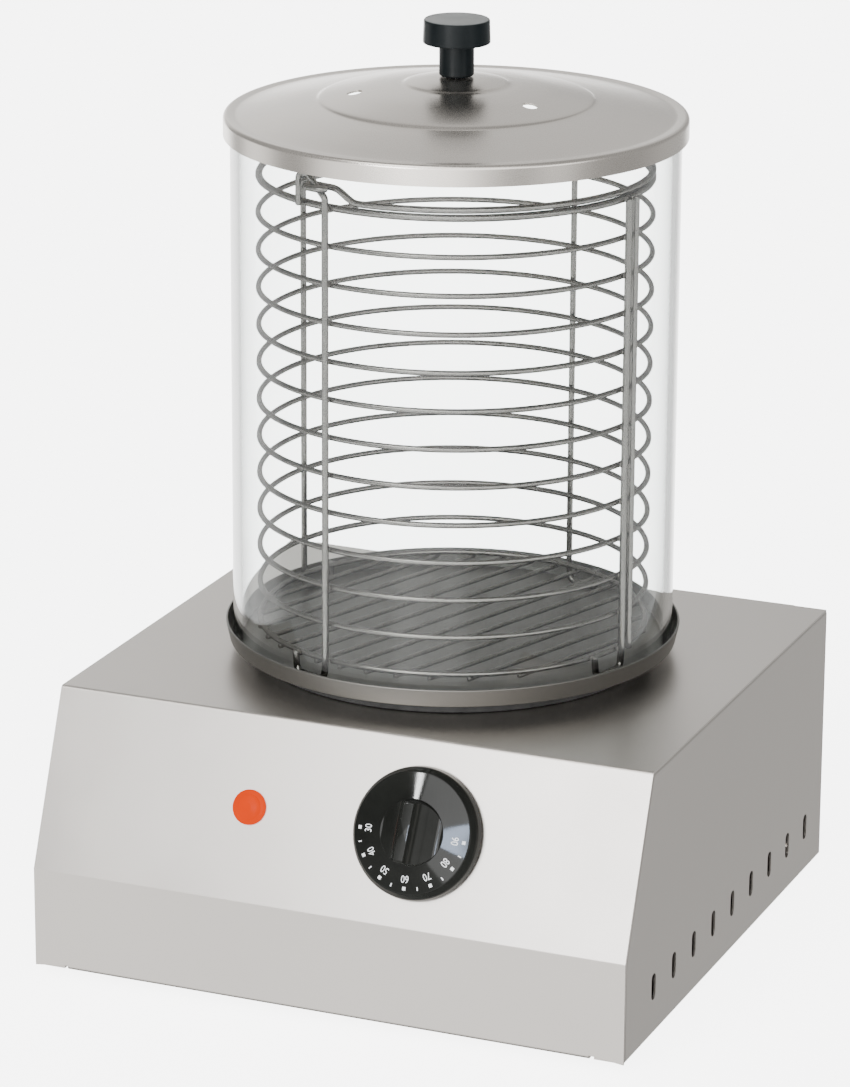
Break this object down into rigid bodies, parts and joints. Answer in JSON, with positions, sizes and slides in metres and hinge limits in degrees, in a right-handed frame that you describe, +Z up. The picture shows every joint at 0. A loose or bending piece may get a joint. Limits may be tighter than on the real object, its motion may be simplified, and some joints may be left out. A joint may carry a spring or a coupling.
{
  "type": "hot dog steamer",
  "caption": "Counter-top hot dog steamer: sloped steel casing with thermostat dial and lamp, heated water pan, glass cylinder, wire basket with folding bail and a domed lid.",
  "frame": {"origin": "on the surface the feet stand on, under the middle of the overall width and depth", "axes": "+X the user's right, +Y away from the user, +Z up"},
  "size_m": [0.281, 0.2834, 0.4195],
  "materials": {
    "brushed_steel": "brushed stainless sheet",
    "pressed_steel": "satin pressed stainless",
    "wire_steel": "bright stainless wire",
    "zinc_steel": "zinc-plated steel",
    "cast_aluminium": "cast",
    "element_sheath": "heat-tinted sheath",
    "black_gloss": "gloss",
    "black_satin": "satin",
    "foot_rubber": "matt",
    "black_silicone": "matt",
    "clear_glass": "clear",
    "amber_lens": "clear amber",
    "white_ceramic": "glazed",
    "copper": "copper tube",
    "brass": "plain brass",
    "wire_brown": "sleeved",
    "wire_blue": "sleeved",
    "wire_black": "sleeved",
    "wire_grey": "sleeved"
  },
  "bodies": {
    "casing": {"casing_wrap": "brushed_steel", "side_panel_left": "brushed_steel", "side_panel_right": "brushed_steel", "rear_panel": "brushed_steel", "rear_screw_left": "zinc_steel", "rear_screw_right": "zinc_steel", "base_plate": "zinc_steel", "foot_front_left": "foot_rubber", "foot_front_right": "foot_rubber", "foot_rear_left": "foot_rubber", "foot_rear_right": "foot_rubber", "foot_screw_front_left": "zinc_steel", "foot_screw_front_right": "zinc_steel", "foot_screw_rear_left": "zinc_steel", "foot_screw_rear_right": "zinc_steel", "water_pan": "pressed_steel", "pan_gasket": "black_silicone", "heater_plate": "cast_aluminium", "heating_element": "element_sheath", "clamp_bar": "zinc_steel", "clamp_nut": "zinc_steel", "thermostat_body": "white_ceramic", "thermostat_bulb": "copper", "bulb_clip": "zinc_steel", "thermal_cutout": "white_ceramic", "pilot_lamp_lens": "amber_lens", "pilot_lamp_body": "white_ceramic", "terminal_block": "white_ceramic", "cable_gland": "black_satin", "gland_nut": "black_satin", "earth_stud": "brass", "wire_live": "wire_brown", "wire_neutral": "wire_blue", "wire_element": "wire_black", "wire_lamp": "wire_grey"},
    "glass": {"glass_cylinder": "clear_glass"},
    "lid": {"lid_shell": "pressed_steel", "lid_knob": "black_satin", "knob_screw": "zinc_steel"},
    "basket": {"basket_floor": "wire_steel", "basket_seam_rod": "wire_steel", "basket_ring_01": "wire_steel", "basket_ring_02": "wire_steel", "basket_ring_03": "wire_steel", "basket_ring_04": "wire_steel", "basket_ring_05": "wire_steel", "basket_ring_06": "wire_steel", "basket_ring_07": "wire_steel", "basket_ring_08": "wire_steel", "basket_ring_09": "wire_steel", "basket_ring_10": "wire_steel", "basket_ring_11": "wire_steel", "basket_ring_12": "wire_steel", "basket_rod_front_left": "wire_steel", "basket_rod_front_right": "wire_steel", "basket_rod_rear_left": "wire_steel", "basket_rod_rear_right": "wire_steel"},
    "bail": {"basket_bail": "wire_steel"},
    "dial": {"thermostat_dial": "black_gloss", "thermostat_shaft": "zinc_steel"}
  },
  "joints": [
    {"name": "glass_lift", "type": "slide", "parent": "casing", "child": "glass", "axis": [0, 0, 1], "range_m": [0, 0.27]},
    {"name": "lid_lift", "type": "slide", "parent": "glass", "child": "lid", "axis": [0, 0, 1], "range_m": [0, 0.4]},
    {"name": "basket_lift", "type": "slide", "parent": "casing", "child": "basket", "axis": [0, 0, 1], "range_m": [0, 0.24]},
    {"name": "bail_swing", "type": "hinge", "parent": "basket", "child": "bail", "pos_m": [-0.0283, -0.07246, 0.3602], "axis": [-0.2664, -0.9639, 0], "range_deg": [0, 92]},
    {"name": "dial_turn", "type": "hinge", "parent": "casing", "child": "dial", "pos_m": [0.0392, -0.11901, 0.09], "axis": [0, 0.9284, -0.3716], "range_deg": [0, 270]}
  ],
  "couplings": [
    {"joint": "basket_lift", "follows": "lid_lift", "ratio": 0.6},
    {"joint": "bail_swing", "follows": "lid_lift", "rad_per_m": 4.0143}
  ]
}
